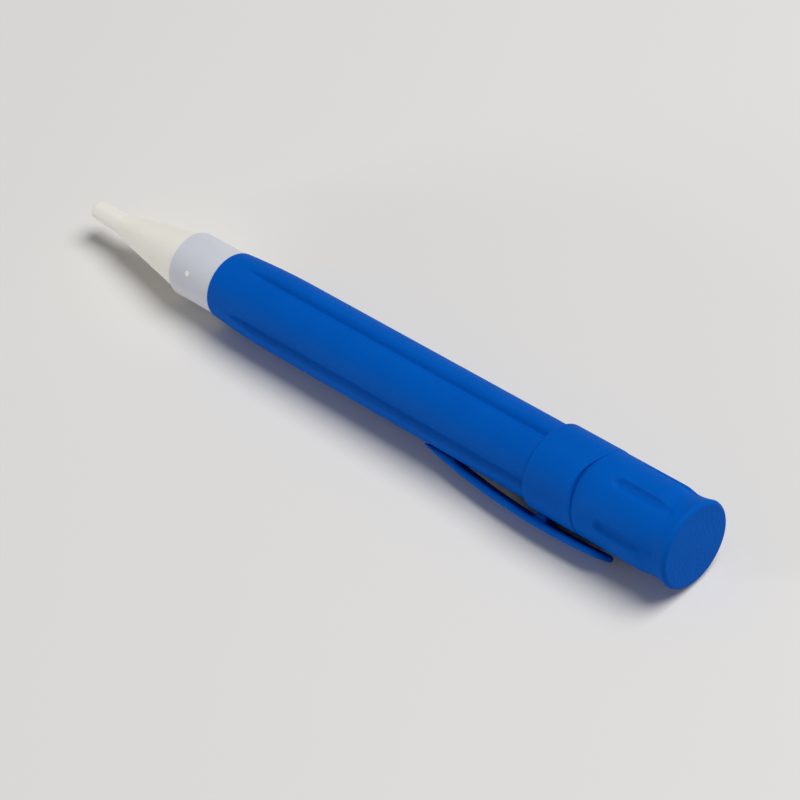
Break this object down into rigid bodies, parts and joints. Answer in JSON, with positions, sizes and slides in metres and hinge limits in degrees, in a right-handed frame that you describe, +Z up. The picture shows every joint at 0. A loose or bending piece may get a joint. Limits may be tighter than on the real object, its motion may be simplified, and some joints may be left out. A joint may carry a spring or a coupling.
{
  "type": "magnetic field detector",
  "caption": "Pen-shaped magnetic field detector with a lit sensing tip, a fluted barrel for cells in line, a lever pocket clip and a flared pull-off end cap.",
  "frame": {"origin": "centre of the flat end of the cap", "axes": "+X along the pen, out of the flat end, so the sensing tip points to -X; +Z is up with the pen lying on a table, its clip low on the -Y side"},
  "size_m": [0.1569, 0.0186, 0.0173],
  "materials": {
    "blue_abs": "satin moulded, blue",
    "diffuser_plastic": "translucent cream, fine matt",
    "nose_plastic": "satin, bluish white",
    "seal_rubber": "matt black",
    "cell_jacket": "satin metal jacket, bare",
    "spring_steel": "nickel plated",
    "tinned_leads": "tinned",
    "board_laminate": "green solder mask",
    "chip_epoxy": "moulded epoxy",
    "chip_ceramic": "fired ceramic with tinned ends",
    "lamp_lens": "tinted clear",
    "carrier_plastic": "moulded black"
  },
  "bodies": {
    "pen": {"tip_cone": "diffuser_plastic", "nose_sleeve": "nose_plastic", "barrel": "blue_abs", "clip_ring": "blue_abs", "cap_seal": "seal_rubber", "field_sensor": "chip_epoxy", "indicator_lamp": "lamp_lens", "lamp_leads": "tinned_leads", "circuit_board": "board_laminate", "detector_chip": "chip_epoxy", "chip_legs": "tinned_leads", "lamp_transistor": "chip_epoxy", "chip_resistors": "chip_ceramic", "chip_capacitors": "chip_ceramic", "board_carrier": "carrier_plastic", "front_contact": "spring_steel", "front_cell": "cell_jacket", "rear_cell": "cell_jacket", "side_strip": "spring_steel"},
    "clip": {"pocket_clip": "blue_abs"},
    "cap": {"end_cap": "blue_abs", "rear_contact": "spring_steel", "rear_spring": "spring_steel"}
  },
  "joints": [
    {"name": "cap_pull", "type": "slide", "parent": "pen", "child": "cap", "axis": [1, 0, 0], "range_m": [0, 0.032]},
    {"name": "clip_flex", "type": "hinge", "parent": "pen", "child": "clip", "pos_m": [-0.029, -0.00666, -0.0052], "axis": [0, -0.6157, 0.788], "range_deg": [0, 1.4], "stiffness_Nm_per_rad": 3.8}
  ]
}
